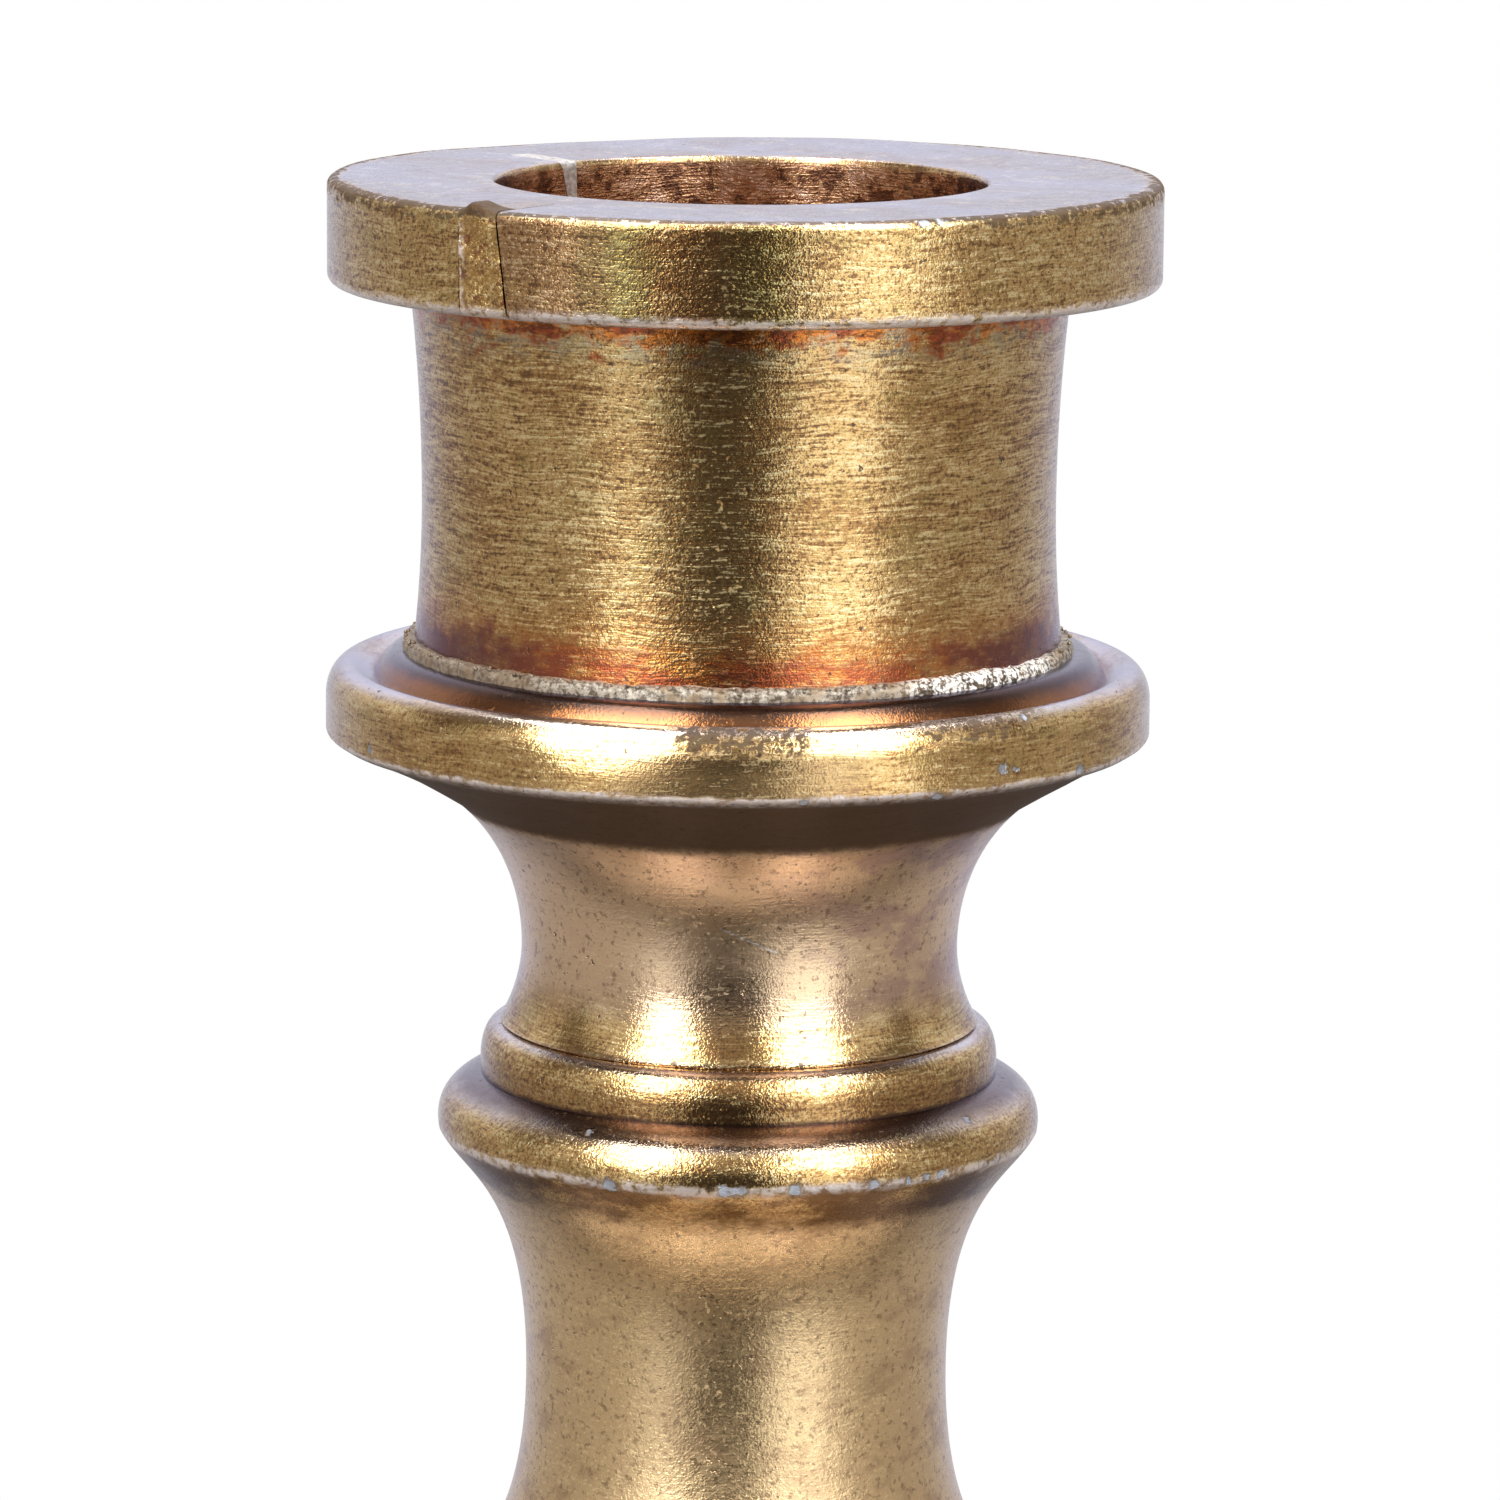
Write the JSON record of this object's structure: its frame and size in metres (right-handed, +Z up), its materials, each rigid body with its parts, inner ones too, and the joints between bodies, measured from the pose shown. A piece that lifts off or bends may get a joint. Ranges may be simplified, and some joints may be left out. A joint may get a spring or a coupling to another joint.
{
  "type": "candlestick",
  "caption": "Turned brass candlestick with a flanged candle socket, stepped round hollow foot and a push-up ejector rod through the stem.",
  "frame": {"origin": "middle of the foot's underside, on the table", "axes": "+Z up along the turning axis; -Y is the front, where the rim's seam is a little to the left"},
  "size_m": [0.1046, 0.1046, 0.18],
  "materials": {
    "cast_brass": "aged, fine lathe scratches, satin",
    "braze": "granular braze metal, dull",
    "solder": "dull grey solder",
    "steel": "plain, lightly tarnished"
  },
  "bodies": {
    "candlestick": {"drip_rim": "cast_brass", "rim_seam_braze": "braze", "socket_tube": "cast_brass", "tube_seam_solder": "solder", "socket_braze_bead": "braze", "neck_casting": "cast_brass", "upper_fillet_ring": "cast_brass", "stem_reel": "cast_brass", "lower_fillet_ring": "cast_brass", "stem_baluster": "cast_brass", "base_collar": "cast_brass", "base_foot": "cast_brass", "base_washer": "steel", "base_nut": "steel"},
    "ejector": {"ejector_disc": "cast_brass", "ejector_rod": "steel", "ejector_button": "cast_brass"}
  },
  "joints": [
    {"name": "push_up", "type": "slide", "parent": "candlestick", "child": "ejector", "axis": [0, 0, 1], "range_m": [0, 0.0165]}
  ]
}
